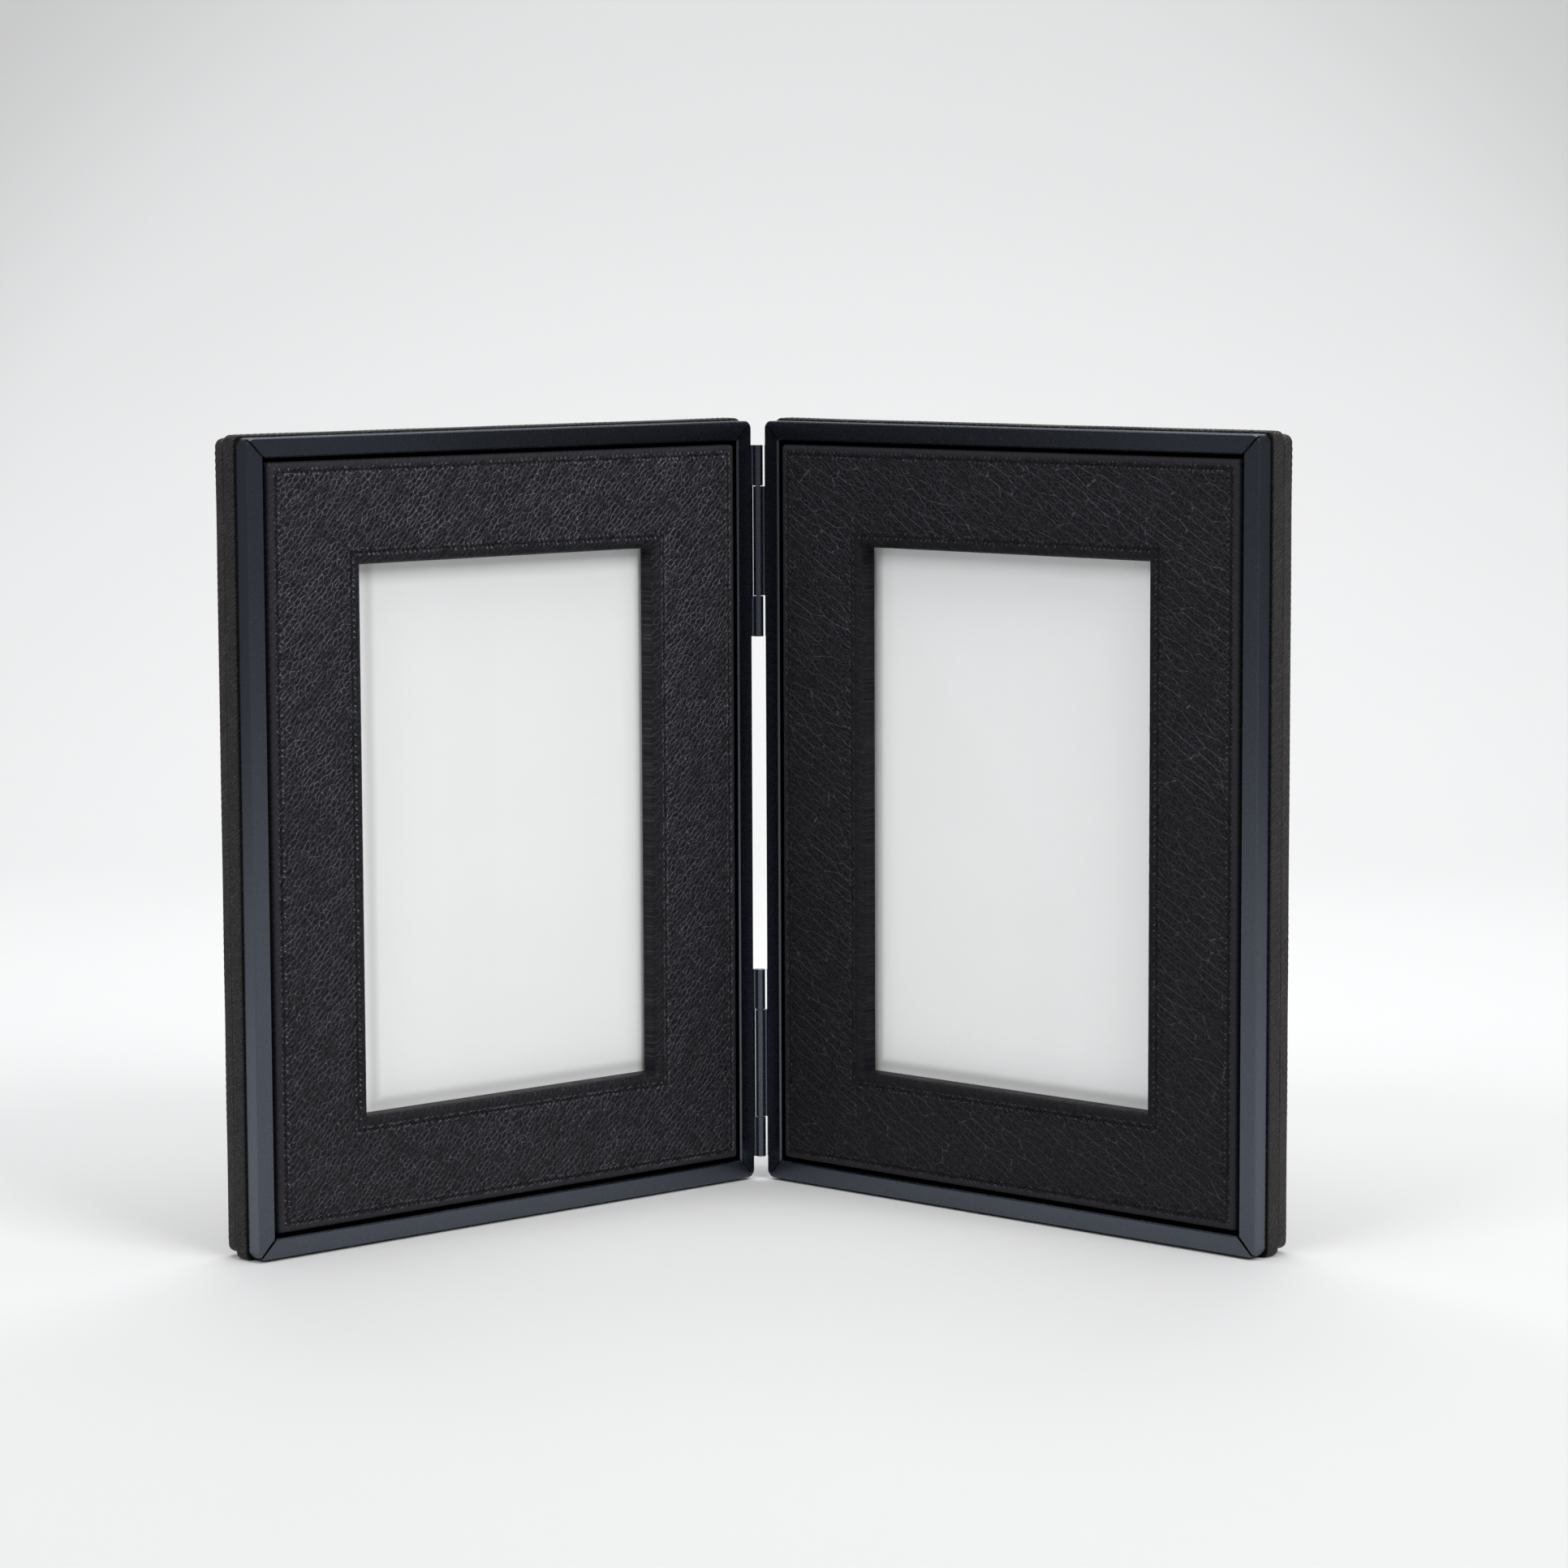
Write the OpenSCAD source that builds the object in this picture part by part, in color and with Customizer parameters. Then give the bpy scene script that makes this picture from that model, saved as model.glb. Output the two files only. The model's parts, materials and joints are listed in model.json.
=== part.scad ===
// Double photo frame: two upright leaves on two barrel hinges, standing open in a V.
// Each leaf is modelled lying on its back, its front at height 0 and its lower hinge-side corner
// at the origin, and is then stood up and turned about the hinge axis.

/* [Leaf] */
// Width of the metal frame of one leaf
leaf_w = 203; // [150:1:260]
// Height of the metal frame of one leaf
leaf_h = 254; // [200:1:320]
// Angle between the two leaves as they stand, in degrees
stand_angle = 96.5; // [70:0.5:150]

/* [Metal frame] */
// Width of a bar's front face
bar_w = 6.2; // [5:0.1:9]
// Depth of a bar from front to back
bar_d = 5.8; // [4.8:0.1:8]
// Radius of the frame's outer corners
frame_corner_r = 2.6; // [1:0.1:4]
// Chamfer along the bars' outer front edges
bar_chamfer = 0.4; // [0.1:0.05:0.6]
// Chamfer along the bars' inner front edges
bar_inner_chamfer = 0.5; // [0.1:0.05:0.8]
// Width of the outer corners' mitre grooves at their inner end
mitre_groove_inner_w = 1.1; // [0.6:0.05:2]
// Width of the outer corners' mitre grooves at their outer end
mitre_groove_outer_w = 0.45; // [0.2:0.05:1]
// Width of the mitre grooves at the hinge-side corners
mitre_groove_hinge_w = 0.35; // [0.2:0.05:1]
// Depth of the groove along each mitre
mitre_groove_d = 1.6; // [0.4:0.1:2.4]

/* [Padded mat] */
// Gap between the bars and the mat
mat_gap = 1.4; // [0.8:0.1:3]
// How far the mat's flat parts stand in front of the bars
mat_proud = 0.2; // [0:0.05:0.3]
// Border from the leaf's side to the window
border_side = 42.6; // [36:0.1:50]
// Border from the leaf's top or bottom to the window
border_top = 40.3; // [36:0.1:48]
// Radius of the mat's outer edge
mat_edge_r = 1.6; // [1.3:0.1:2.5]
// Radius of the rolled lip round the window
lip_r = 2.4; // [1.3:0.1:2.6]
// Outer stitch line, from the mat's outer edge
stitch_outer = 3; // [2.6:0.1:6]
// Inner stitch line, from the window's edge
stitch_inner = 4.1; // [3.5:0.1:7]
// Width of the channel that a stitch line draws in
channel_w = 1.6; // [0.8:0.1:2]
// Depth of the channel that a stitch line draws in
channel_d = 0.4; // [0.1:0.05:0.6]
// Crown of the padding between the stitch lines
mat_crown = 0.3; // [0:0.05:0.4]
// Thickness of the mat's leather
mat_leather_t = 1.1; // [0.8:0.1:1.2]
// Thickness of the mat's stiff board
mat_board_t = 2.4; // [1:0.1:3]
// Clearance round the mat where it sits through the block's leather
mat_seat_play = 0.15; // [0.05:0.05:0.3]

/* [Block] */
// Depth of the leather-wrapped block
block_d = 6.3; // [6:0.1:10]
// How far the block reaches beyond the metal frame all round
block_proud = 0.8; // [0.4:0.1:1]
// Radius of the block's corners
block_corner_r = 2.4; // [2:0.1:8]
// Radius of the block's front and back edges
block_edge_r = 1.2; // [0.6:0.1:1.4]
// Thickness of the block's leather
block_leather_t = 0.8; // [0.7:0.1:1.2]

/* [Back panel] */
// Depth of the back panel
back_d = 6; // [5:0.1:9]
// How far the back panel's outline lies inside the block's
back_inset = 1.3; // [0.5:0.1:4]
// Radius of the back panel's corners
back_corner_r = 2.4; // [2.3:0.1:12]
// Radius of the back panel's edges
back_edge_r = 1.4; // [1.1:0.1:2.2]
// Thickness of the back panel's leather
back_leather_t = 1; // [0.7:0.1:1.2]
// Width of leather turned over the board's front
turn_in = 14; // [10:1:20]
// Gap between the block and the back panel
back_gap = 0.2; // [0.1:0.05:0.5]

/* [Picture] */
// Width of the picture, its pane and its board
picture_w = 127; // [121:1:130]
// Height of the picture, its pane and its board
picture_h = 178; // [177:1:184]
// Play round the picture in the block's opening
picture_play = 0.5; // [0.2:0.1:1]
// Thickness of the pane
glass_t = 2; // [1.5:0.1:2.5]
// Thickness of the card
card_t = 0.6; // [0.3:0.1:1]
// Play of the stack between the mat and the back panel
stack_play = 0.2; // [0.1:0.05:0.5]

/* [Magnets] */
// Radius of a holding magnet
magnet_r = 3; // [2:0.1:5]
// Thickness of a holding magnet
magnet_t = 2; // [1.5:0.1:2.4]
// Clearance round a magnet in its pocket
magnet_play = 0.05; // [0.02:0.01:0.1]

/* [Hinges] */
// Length of one hinge
hinge_len = 63.5; // [50:0.5:76]
// Length of the middle knuckle
mid_knuckle_len = 36.2; // [24:0.1:40]
// Gap between neighbouring knuckles
knuckle_gap = 0.25; // [0.15:0.05:0.5]
// Radius of the knuckles
knuckle_r = 1.65; // [1.4:0.05:1.7]
// Radius of the hinge pin
pin_r = 0.8; // [0.6:0.05:0.95]
// Radial clearance of the pin in the knuckles
pin_play = 0.05; // [0.02:0.01:0.1]
// From the bars' hinge-side face to the hinge axis
axis_gap = 2.05; // [2.05:0.01:3.2]
// From the bars' front to the hinge axis in front of it
axis_lift = 0.8; // [0.75:0.05:1.2]
// Thickness of the hinge plates
plate_t = 1; // [0.8:0.1:1.1]
// Depth of the hinge plates
plate_d = 4.5; // [4:0.1:4.7]
// From the bars' front to the front edge of a plate
plate_setback = 0.1; // [0.05:0.05:0.15]
// Depth of the notches behind the end knuckles, from the plate's front edge
notch_d = 1.2; // [0.9:0.1:1.3]
// Clearance of the notch round the middle knuckle
notch_play = 0.15; // [0.1:0.05:0.3]
// From the top of the frame to the upper hinge
upper_hinge_inset = 8; // [5:0.5:30]
// From the bottom of the frame to the lower hinge
lower_hinge_inset = 7; // [5:0.5:30]

/* [Screws] */
// Radius of a hinge screw
hinge_screw_r = 0.8; // [0.6:0.05:0.9]
// Radius of a hinge screw's head
hinge_screw_head_r = 1.4; // [1.2:0.05:1.45]
// Length of a hinge screw
hinge_screw_len = 5; // [4:0.1:5.5]
// Spacing of the screws along a hinge
hinge_screw_pitch = 24; // [16:1:28]
// Radius of a bar screw
bar_screw_r = 1.1; // [0.8:0.05:1.2]
// Radius of a bar screw's head
bar_screw_head_r = 2; // [1.6:0.1:2.2]
// Length that a bar screw reaches into its bar
bar_screw_grip = 3; // [2:0.1:3.4]
// From the ends of the top and bottom bars to their screws
short_bar_inset = 38; // [30:1:60]
// From the ends of the upright bars to their screws, clear of the hinges
long_bar_inset = 95; // [80:1:100]
// Clearance round the screws
screw_play = 0.05; // [0.02:0.01:0.1]

/* [Hidden] */
$fn = 48;

gunmetal = "#4a4e57";
black_leather = "#26252b";
wood = "#b79a6b";
board_grey = "#8d8a84";
foam_grey = "#5a5a5e";
steel = "#b9bcc2";

// One overrun for all cuts
over = 1;
// Steps in the mat profile's arcs, channels and crown
arc_steps = 5;
channel_steps = 4;
crown_steps = 6;

// Angle of each leaf from the plane square to the V
lean = (180 - stand_angle) / 2;

// Heights below the bars' front, in the leaf lying on its back
mat_in = bar_w + mat_gap;
mat_foot = bar_d + block_leather_t;
block_w = leaf_w + 2 * block_proud;
block_h = leaf_h + 2 * block_proud;
back_front = bar_d + block_d + back_gap;
back_w = block_w - 2 * back_inset;
back_h = block_h - 2 * back_inset;
opening_w = picture_w + 2 * picture_play;
opening_h = picture_h + 2 * picture_play;
backing_t = block_d - block_leather_t - glass_t - card_t - stack_play;
plate_mid = plate_setback + (plate_d + notch_d) / 2;
end_knuckle_len = (hinge_len - mid_knuckle_len) / 2 - knuckle_gap;

// Where the V's outermost points lie, behind the hinge axis, which centres its footprint
front_reach = (axis_gap + leaf_w - bar_chamfer) * sin(lean) - axis_lift * cos(lean);
back_turn_u = axis_gap - block_proud + back_inset + back_edge_r;
back_turn_d = axis_lift + back_front + back_d - back_edge_r;
back_reach = back_turn_d * cos(lean) - back_turn_u * sin(lean) + back_edge_r;
axis_y = (front_reach - back_reach) / 2;

upper_hinge_z = leaf_h - upper_hinge_inset - hinge_len;
lower_hinge_z = lower_hinge_inset;

// Placing

// Turns a leaf from its own place, hinge-side face at x 0 and front at y 0, to where it stands
module stand(side) {
    translate([0, axis_y, block_proud])
        mirror([side == "left" ? 1 : 0, 0, 0])
            rotate([0, 0, -lean])
                translate([axis_gap, axis_lift, 0])
                    children();
}

// Stands up a leaf that lies on its back
module leaf(side) {
    stand(side) rotate([90, 0, 0]) children();
}

// Shared forms

// Slab with rounded corners, its top at height 0, whose rim has the section in children:
// x runs outwards from a corner's axis to the edge at r, y down from 0
module rimmed_slab(w, h, r, t) {
    corners = [[0, 0], [w, 0], [w, h], [0, h]];
    translate([r, r, -t]) cube([w - 2 * r, h - 2 * r, t]);
    for (k = [0:3]) {
        run = (k % 2 == 0 ? w : h) - 2 * r;
        translate(corners[k]) rotate([0, 0, 90 * k]) {
            translate([r, r, 0]) rotate([90, 0, 90]) linear_extrude(run) mirror([1, 0]) children();
            translate([r, r, 0]) rotate([0, 0, 180]) rotate_extrude(angle = 90) children();
        }
    }
}

// What a rounded edge of radius q leaves of a square corner at the origin
module edge_waste(q) {
    difference() {
        translate([-q, -q]) square([q + over, q + over]);
        translate([-q, -q]) circle(q);
    }
}

// Rim section with rounded front and back edges
module rounded_rim(r, t, q) {
    difference() {
        translate([0, -t]) square([r, t]);
        translate([r, 0]) edge_waste(q);
        translate([r, -t]) mirror([0, 1]) edge_waste(q);
    }
}

// Rim section with a chamfered front edge
module chamfered_rim(r, t, c) {
    polygon([[0, -t], [r, -t], [r, -c], [r - c, 0], [0, 0]]);
}

module through(x, y, w, h, z_low, z_high) {
    translate([x, y, z_low]) cube([w, h, z_high - z_low]);
}

// Metal bars

// Corners in plan: 0 bottom hinge side, 1 bottom outer, 2 top outer, 3 top hinge side
leaf_corners = [[0, 0], [leaf_w, 0], [leaf_w, leaf_h], [0, leaf_h]];

// Half width of a corner's groove, measured along the bar, at its outer and inner ends
function groove_runs(corner) = corner == 1 || corner == 2
    ? [mitre_groove_outer_w / sqrt(2), mitre_groove_inner_w / sqrt(2)]
    : [mitre_groove_hinge_w / sqrt(2), mitre_groove_hinge_w / sqrt(2)];

// Region of one bar in plan, cut back from the mitres by the share grow of the grooves:
// 0 bottom, 1 outer, 2 top, 3 hinge side
module bar_region(k, grow) {
    run = k % 2 == 0 ? leaf_w : leaf_h;
    reach = bar_w + over;
    a = grow * groove_runs(k);
    b = grow * groove_runs((k + 1) % 4);
    translate(leaf_corners[k]) rotate([0, 0, 90 * k])
        polygon([
            [-over + a[0], -over], [run + over - b[0], -over],
            [run - reach - b[1], reach], [reach + a[1], reach]
        ]);
}

function bar_screw_places() = [
    for (x = [short_bar_inset, leaf_w - short_bar_inset]) for (y = [bar_w / 2, leaf_h - bar_w / 2]) [x, y],
    for (x = [bar_w / 2, leaf_w - bar_w / 2]) for (y = [long_bar_inset, leaf_h - long_bar_inset]) [x, y]
];

module bar_screw_hole(low, high) {
    translate([0, 0, low]) cylinder(r = bar_screw_r + screw_play, h = high - low);
}

module frame_ring() {
    difference() {
        rimmed_slab(leaf_w, leaf_h, frame_corner_r, bar_d)
            chamfered_rim(frame_corner_r, bar_d, bar_chamfer);
        through(bar_w, bar_w, leaf_w - 2 * bar_w, leaf_h - 2 * bar_w, -bar_d - over, over);
    }
}

// Chamfer along a bar's inner front edge
module inner_chamfer(k) {
    run = k % 2 == 0 ? leaf_w : leaf_h;
    c = bar_inner_chamfer;
    translate(leaf_corners[k]) rotate([0, 0, 90 * k]) translate([0, bar_w, 0])
        rotate([90, 0, 90]) linear_extrude(run)
            polygon([[-c, 0], [0, -c], [over, -c], [over, over], [-c, over]]);
}

module bar(side, k) {
    color(gunmetal) leaf(side) difference() {
        intersection() {
            frame_ring();
            union() {
                translate([0, 0, -bar_d - over])
                    linear_extrude(bar_d + over - mitre_groove_d) bar_region(k, 0);
                translate([0, 0, -mitre_groove_d])
                    linear_extrude(mitre_groove_d + over) bar_region(k, 1);
            }
        }
        inner_chamfer(k);
        for (p = bar_screw_places()) translate(p) bar_screw_hole(-bar_d - over, -bar_d + bar_screw_grip);
        if (k == 3) for (z = hinge_screw_heights()) hinge_screw_bore(z);
    }
}

module bar_screws(side) {
    color(steel) leaf(side) for (p = bar_screw_places()) translate(p) {
        core_back = -bar_d - block_d + block_leather_t;
        translate([0, 0, core_back + screw_play])
            cylinder(r = bar_screw_r, h = -bar_d + bar_screw_grip - core_back - 2 * screw_play);
        translate([0, 0, core_back])
            cylinder(r1 = bar_screw_head_r, r2 = bar_screw_r, h = bar_screw_head_r - bar_screw_r);
    }
}

// Padded mat

// One point of the mat's profile: [share of the border, distance from there, height]
function arc_points(share, at, z, r, from, to) = [
    for (i = [0:arc_steps]) let (a = from + (to - from) * i / arc_steps)
        [share, at + r * cos(a), z + r * sin(a)]
];
function channel_points(share, at, z) = [
    for (i = [1:channel_steps - 1]) let (s = i / channel_steps)
        [share, at + channel_w * (s - 1 / 2), z - channel_d * (1 - cos(360 * s)) / 2]
];
function crown_points(from, to, z) = [
    for (i = [0:crown_steps]) let (s = i / crown_steps)
        [s, from * (1 - s) + to * s, z + mat_crown * sin(180 * s)]
];

// Profile of the mat across its border, a depth below the leather's face, from edge to window
function mat_profile(under, foot) = let (z = mat_proud - under) concat(
    [[0, under, foot]],
    arc_points(0, mat_edge_r, mat_proud - mat_edge_r, mat_edge_r - under, 180, 90),
    channel_points(0, stitch_outer, z),
    crown_points(stitch_outer + channel_w / 2, -stitch_inner - channel_w / 2, z),
    channel_points(1, -stitch_inner, z),
    arc_points(1, -lip_r, mat_proud - lip_r, lip_r - under, 90, 0),
    [[1, -under, foot]]
);

// Ring of nested rectangles, one for each point of a closed profile
module mat_ring(profile) {
    n = len(profile);
    side_run = border_side - mat_in;
    top_run = border_top - mat_in;
    function rect(p) = let (a = mat_in + p[0] * side_run + p[1], b = mat_in + p[0] * top_run + p[1]) [
        [a, b, p[2]], [leaf_w - a, b, p[2]], [leaf_w - a, leaf_h - b, p[2]], [a, leaf_h - b, p[2]]
    ];
    points = [for (p = profile) for (q = rect(p)) q];
    faces = [
        for (i = [0:n - 1]) for (k = [0:3]) let (
            a = 4 * i + k,
            b = 4 * i + (k + 1) % 4,
            c = 4 * ((i + 1) % n) + (k + 1) % 4,
            d = 4 * ((i + 1) % n) + k
        ) for (f = [[a, c, b], [a, d, c]]) f
    ];
    polyhedron(points, faces);
}

function reversed(list) = [for (i = [len(list) - 1:-1:0]) list[i]];

module mat_leather(side) {
    color(black_leather) leaf(side)
        mat_ring(concat(mat_profile(0, -mat_foot), reversed(mat_profile(mat_leather_t, -mat_foot))));
}

module mat_foam(side) {
    color(foam_grey) leaf(side) mat_ring(mat_profile(mat_leather_t, -mat_foot + mat_board_t));
}

module mat_board(side) {
    low = mat_in + mat_leather_t;
    color(board_grey) leaf(side) difference() {
        through(low, low, leaf_w - 2 * low, leaf_h - 2 * low, -mat_foot, -mat_foot + mat_board_t);
        through(border_side - mat_leather_t, border_top - mat_leather_t,
            leaf_w - 2 * (border_side - mat_leather_t), leaf_h - 2 * (border_top - mat_leather_t),
            -mat_foot - over, -mat_foot + mat_board_t + over);
    }
}

// Picture stack

// Sheet of the picture's size, its front at the given depth
module picture_sheet(front, t) {
    through((leaf_w - picture_w) / 2, (leaf_h - picture_h) / 2, picture_w, picture_h, -front - t, -front);
}

module glass(side) {
    color("#dfe8ea", 0.35) leaf(side) picture_sheet(mat_foot, glass_t);
}

module card(side) {
    color("#efefef") leaf(side) picture_sheet(mat_foot + glass_t, card_t);
}

module backing_board(side) {
    color(board_grey) leaf(side) picture_sheet(mat_foot + glass_t + card_t, backing_t);
}

// Block

module opening(low, high) {
    through((leaf_w - opening_w) / 2, (leaf_h - opening_h) / 2, opening_w, opening_h, low, high);
}

// Centres of the magnets, midway across the block's border near its corners
function magnet_places() = let (
    x = ((leaf_w - opening_w) / 2 - block_proud) / 2,
    y = ((leaf_h - opening_h) / 2 - block_proud) / 2
) [for (a = [x, leaf_w - x]) for (b = [y, leaf_h - y]) [a, b]];

// The core fills the block's outline less the leather's thickness
module core_slab() {
    r = block_corner_r - block_leather_t;
    t = block_d - 2 * block_leather_t;
    translate([block_leather_t - block_proud, block_leather_t - block_proud, -bar_d - block_leather_t])
        rimmed_slab(block_w - 2 * block_leather_t, block_h - 2 * block_leather_t, r, t)
            translate([0, -t]) square([r, t]);
}

module block_core(side) {
    back = -bar_d - block_d + block_leather_t;
    color(wood) leaf(side) difference() {
        core_slab();
        opening(-bar_d - block_d, -bar_d);
        for (p = bar_screw_places()) translate(p) {
            bar_screw_hole(back - over, -bar_d);
            translate([0, 0, back]) cylinder(
                r1 = bar_screw_head_r + screw_play, r2 = bar_screw_r + screw_play,
                h = bar_screw_head_r - bar_screw_r);
        }
        for (p = magnet_places()) translate([p[0], p[1], back - over])
            cylinder(r = magnet_r + magnet_play, h = magnet_t + magnet_play + over);
    }
}

// The leather is cut away in front where the mat sits on the core
module block_leather(side) {
    seat = mat_in - mat_seat_play;
    color(black_leather) leaf(side) difference() {
        translate([-block_proud, -block_proud, -bar_d])
            rimmed_slab(block_w, block_h, block_corner_r, block_d)
                rounded_rim(block_corner_r, block_d, block_edge_r);
        core_slab();
        opening(-bar_d - block_d - over, -bar_d + over);
        through(seat, seat, leaf_w - 2 * seat, leaf_h - 2 * seat,
            -bar_d - 2 * block_leather_t, -bar_d + over);
        for (p = bar_screw_places()) translate(p)
            bar_screw_hole(-bar_d - 2 * block_leather_t, -bar_d + over);
    }
}

module block_magnets(side) {
    back = -bar_d - block_d + block_leather_t;
    color(steel) leaf(side)
        for (p = magnet_places()) translate([p[0], p[1], back]) cylinder(r = magnet_r, h = magnet_t);
}

// Back panel

module back_board_slab() {
    r = back_corner_r - back_leather_t;
    t = back_d - 2 * back_leather_t;
    in = back_inset - block_proud + back_leather_t;
    translate([in, in, -back_front - back_leather_t])
        rimmed_slab(back_w - 2 * back_leather_t, back_h - 2 * back_leather_t, r, t)
            translate([0, -t]) square([r, t]);
}

module back_board(side) {
    front = -back_front - back_leather_t;
    color(wood) leaf(side) difference() {
        back_board_slab();
        for (p = magnet_places()) translate([p[0], p[1], front - magnet_t - magnet_play])
            cylinder(r = magnet_r + magnet_play, h = magnet_t + magnet_play + over);
    }
}

module back_leather(side) {
    in = back_inset - block_proud;
    color(black_leather) leaf(side) difference() {
        translate([in, in, -back_front]) rimmed_slab(back_w, back_h, back_corner_r, back_d)
            rounded_rim(back_corner_r, back_d, back_edge_r);
        back_board_slab();
        through(in + turn_in, in + turn_in, back_w - 2 * turn_in, back_h - 2 * turn_in,
            -back_front - 2 * back_leather_t, -back_front + over);
    }
}

module back_magnets(side) {
    front = -back_front - back_leather_t;
    color(steel) leaf(side)
        for (p = magnet_places())
            translate([p[0], p[1], front - magnet_t]) cylinder(r = magnet_r, h = magnet_t);
}

// Hinges, in the leaf's own place: x from the hinge-side face, y from the front backwards

module knuckle(low, length) {
    translate([-axis_gap, -axis_lift, low]) cylinder(r = knuckle_r, h = length);
}

// Web that joins a knuckle to its plate
module web(low, length) {
    translate([0, 0, low]) linear_extrude(length) polygon([
        [0, plate_setback], [-axis_gap, -axis_lift], [-axis_gap, -axis_lift + knuckle_r],
        [-plate_t, plate_setback + notch_d]
    ]);
}

module plate_blank(low) {
    translate([-plate_t, plate_setback, low]) cube([plate_t, plate_d, hinge_len]);
}

// Bore for the pin and countersunk holes for the screws
module plate_holes(low) {
    translate([-axis_gap, -axis_lift, low - over]) cylinder(r = pin_r + pin_play, h = hinge_len + 2 * over);
    for (z = plate_screw_heights(low)) translate([-plate_t, plate_mid, z]) rotate([0, 90, 0]) {
        translate([0, 0, -over]) cylinder(r = hinge_screw_r + screw_play, h = plate_t + 2 * over);
        cylinder(
            r1 = hinge_screw_head_r + screw_play, r2 = hinge_screw_r + screw_play,
            h = hinge_screw_head_r - hinge_screw_r);
    }
}

// Left plate: end knuckles, and a close notch round the middle one
module left_plate(low) {
    mid = low + end_knuckle_len;
    mid_len = mid_knuckle_len + 2 * knuckle_gap;
    color(gunmetal) stand("left") difference() {
        union() {
            plate_blank(low);
            for (z = [low, low + hinge_len - end_knuckle_len]) {
                knuckle(z, end_knuckle_len);
                web(z, end_knuckle_len);
            }
        }
        translate([-axis_gap, -axis_lift, mid]) cylinder(r = knuckle_r + notch_play, h = mid_len);
        plate_holes(low);
    }
}

// Right plate: middle knuckle, and two deep notches behind the end ones
module right_plate(low) {
    color(gunmetal) stand("right") difference() {
        union() {
            plate_blank(low);
            knuckle(low + end_knuckle_len + knuckle_gap, mid_knuckle_len);
            web(low + end_knuckle_len + knuckle_gap, mid_knuckle_len);
        }
        for (z = [low - over, low + hinge_len - end_knuckle_len - knuckle_gap])
            translate([-plate_t - over, plate_setback - over, z])
                cube([plate_t + 2 * over, notch_d + over, end_knuckle_len + knuckle_gap + over]);
        plate_holes(low);
    }
}

module hinge_pin(low) {
    color(steel) stand("left") translate([-axis_gap, -axis_lift, low]) cylinder(r = pin_r, h = hinge_len);
}

function plate_screw_heights(low) = [for (k = [-1, 0, 1]) low + hinge_len / 2 + k * hinge_screw_pitch];
function hinge_screw_heights() = concat(
    plate_screw_heights(lower_hinge_z), plate_screw_heights(upper_hinge_z)
);

// Bore for a hinge screw in the hinge-side bar, in the leaf lying on its back
module hinge_screw_bore(z) {
    translate([-over, z, -plate_mid]) rotate([0, 90, 0])
        cylinder(r = hinge_screw_r + screw_play, h = hinge_screw_len - plate_t + over);
}

module hinge_screws(side) {
    color(steel) stand(side) for (z = hinge_screw_heights())
        translate([-plate_t, plate_mid, z]) rotate([0, 90, 0]) {
            cylinder(r = hinge_screw_r, h = hinge_screw_len - screw_play);
            cylinder(r1 = hinge_screw_head_r, r2 = hinge_screw_r, h = hinge_screw_head_r - hinge_screw_r);
        }
}

bar("left", 2);  // left_top_bar
bar("left", 0);  // left_bottom_bar
bar("left", 1);  // left_outer_bar
bar("left", 3);  // left_hinge_bar
bar_screws("left");  // left_bar_screws
mat_leather("left");  // left_mat_leather
mat_foam("left");  // left_mat_foam
mat_board("left");  // left_mat_board
glass("left");  // left_glass
card("left");  // left_card
backing_board("left");  // left_backing_board
block_core("left");  // left_block_core
block_leather("left");  // left_block_leather
block_magnets("left");  // left_block_magnets
back_board("left");  // left_back_board
back_leather("left");  // left_back_leather
back_magnets("left");  // left_back_magnets
bar("right", 2);  // right_top_bar
bar("right", 0);  // right_bottom_bar
bar("right", 1);  // right_outer_bar
bar("right", 3);  // right_hinge_bar
bar_screws("right");  // right_bar_screws
mat_leather("right");  // right_mat_leather
mat_foam("right");  // right_mat_foam
mat_board("right");  // right_mat_board
glass("right");  // right_glass
card("right");  // right_card
backing_board("right");  // right_backing_board
block_core("right");  // right_block_core
block_leather("right");  // right_block_leather
block_magnets("right");  // right_block_magnets
back_board("right");  // right_back_board
back_leather("right");  // right_back_leather
back_magnets("right");  // right_back_magnets
left_plate(upper_hinge_z);  // upper_hinge_left_plate
right_plate(upper_hinge_z);  // upper_hinge_right_plate
hinge_pin(upper_hinge_z);  // upper_hinge_pin
left_plate(lower_hinge_z);  // lower_hinge_left_plate
right_plate(lower_hinge_z);  // lower_hinge_right_plate
hinge_pin(lower_hinge_z);  // lower_hinge_pin
hinge_screws("left");  // left_hinge_screws
hinge_screws("right");  // right_hinge_screws
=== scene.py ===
"""Looks of the double photo frame: leather, padding, stitching, metal, glass, light and camera.

Lengths on the object are in millimetres, and MM turns them into metres. The floor, the lamps and
all that Blender holds are in metres."""

import json
import math

import bpy
import numpy as np
from mathutils import Matrix, Vector


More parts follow.
